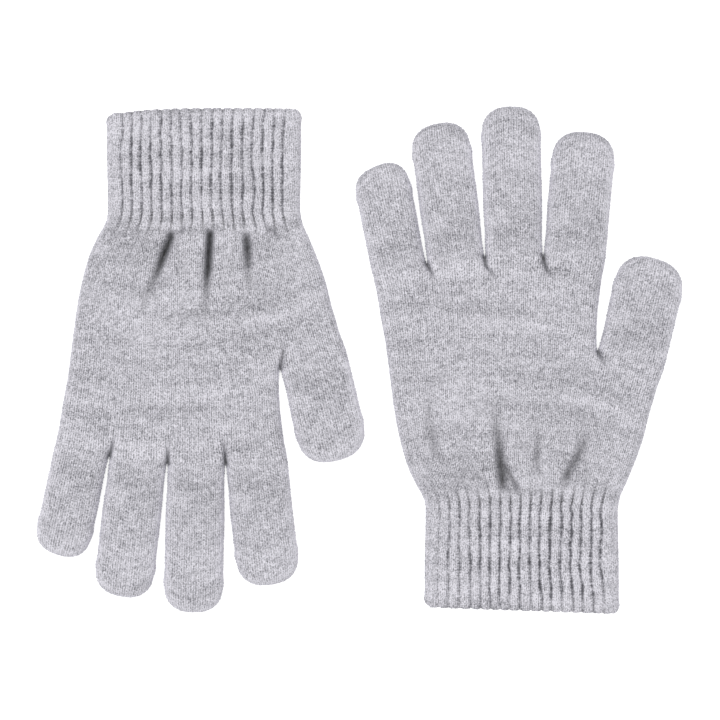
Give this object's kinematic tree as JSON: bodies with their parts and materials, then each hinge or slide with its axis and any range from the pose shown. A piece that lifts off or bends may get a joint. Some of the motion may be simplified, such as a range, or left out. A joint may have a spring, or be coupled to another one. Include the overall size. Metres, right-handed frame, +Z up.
{
  "type": "knitted gloves",
  "caption": "Fine-knit gloves laid flat: hollow knitted fingers and thumb, hand sections with finger forks, and a ribbed elastic cuff with a welt at its open mouth.",
  "frame": {"origin": "on the table, under the middle of the pair", "axes": "+Z up off the table, +Y the way the right glove's fingers point, +X from its little finger towards its thumb"},
  "size_m": [0.2772, 0.2178, 0.0096],
  "materials": {
    "plain_knit": "light heather grey acrylic yarn in fine plain knitting",
    "rib_knit": "the same heather grey yarn in two-by-two rib",
    "closing_thread": "light grey closing yarn",
    "elastic_thread": "covered elastane thread"
  },
  "bodies": {
    "right_hand": {"right_lower_hand": "plain_knit", "right_upper_hand": "plain_knit", "right_fork_stitches": "closing_thread"},
    "right_thumb": {"right_thumb": "plain_knit"},
    "right_index_finger": {"right_index_finger": "plain_knit"},
    "right_middle_finger": {"right_middle_finger": "plain_knit"},
    "right_ring_finger": {"right_ring_finger": "plain_knit"},
    "right_little_finger": {"right_little_finger": "plain_knit"},
    "right_cuff": {"right_cuff": "rib_knit", "right_cuff_welt": "rib_knit", "right_cuff_elastic": "elastic_thread"},
    "left_hand": {"left_lower_hand": "plain_knit", "left_upper_hand": "plain_knit", "left_fork_stitches": "closing_thread"},
    "left_thumb": {"left_thumb": "plain_knit"},
    "left_index_finger": {"left_index_finger": "plain_knit"},
    "left_middle_finger": {"left_middle_finger": "plain_knit"},
    "left_ring_finger": {"left_ring_finger": "plain_knit"},
    "left_little_finger": {"left_little_finger": "plain_knit"},
    "left_cuff": {"left_cuff": "rib_knit", "left_cuff_welt": "rib_knit", "left_cuff_elastic": "elastic_thread"}
  },
  "joints": [
    {"name": "left_glove_lift", "type": "slide", "parent": "right_hand", "child": "left_hand", "axis": [0, 0, 1], "range_m": [0, 0.1]},
    {"name": "right_little_finger_bend", "type": "hinge", "parent": "right_hand", "child": "right_little_finger", "pos_m": [0.01727, 0.03858, 0.0096], "axis": [0.9763, 0.2164, 0], "range_deg": [0, 90]},
    {"name": "right_ring_finger_bend", "type": "hinge", "parent": "right_hand", "child": "right_ring_finger", "pos_m": [0.0413, 0.04267, 0.0096], "axis": [0.9925, 0.1219, 0], "range_deg": [0, 90]},
    {"name": "right_middle_finger_bend", "type": "hinge", "parent": "right_hand", "child": "right_middle_finger", "pos_m": [0.0663, 0.04453, 0.0096], "axis": [0.9997, 0.0262, 0], "range_deg": [0, 90]},
    {"name": "right_index_finger_bend", "type": "hinge", "parent": "right_hand", "child": "right_index_finger", "pos_m": [0.09214, 0.04365, 0.0096], "axis": [0.9959, -0.0906, 0], "range_deg": [0, 90]},
    {"name": "right_thumb_bend", "type": "hinge", "parent": "right_hand", "child": "right_thumb", "pos_m": [0.11653, 0.00008, 0.0096], "axis": [0.9694, -0.2453, 0], "range_deg": [0, 60]},
    {"name": "right_wrist_bend", "type": "hinge", "parent": "right_hand", "child": "right_cuff", "pos_m": [0.06965, -0.0636, 0.0096], "axis": [-1, 0, 0], "range_deg": [0, 80]},
    {"name": "left_little_finger_bend", "type": "hinge", "parent": "left_hand", "child": "left_little_finger", "pos_m": [-0.11953, -0.03858, 0.0096], "axis": [-0.9763, 0.2164, 0], "range_deg": [0, 90]},
    {"name": "left_ring_finger_bend", "type": "hinge", "parent": "left_hand", "child": "left_ring_finger", "pos_m": [-0.0955, -0.04267, 0.0096], "axis": [-0.9925, 0.1219, 0], "range_deg": [0, 90]},
    {"name": "left_middle_finger_bend", "type": "hinge", "parent": "left_hand", "child": "left_middle_finger", "pos_m": [-0.0705, -0.04453, 0.0096], "axis": [-0.9997, 0.0262, 0], "range_deg": [0, 90]},
    {"name": "left_index_finger_bend", "type": "hinge", "parent": "left_hand", "child": "left_index_finger", "pos_m": [-0.04466, -0.04365, 0.0096], "axis": [-0.9959, -0.0906, 0], "range_deg": [0, 90]},
    {"name": "left_thumb_bend", "type": "hinge", "parent": "left_hand", "child": "left_thumb", "pos_m": [-0.02027, -0.00008, 0.0096], "axis": [-0.9694, -0.2453, 0], "range_deg": [0, 60]},
    {"name": "left_wrist_bend", "type": "hinge", "parent": "left_hand", "child": "left_cuff", "pos_m": [-0.06715, 0.0636, 0.0096], "axis": [1, 0, 0], "range_deg": [0, 80]}
  ]
}
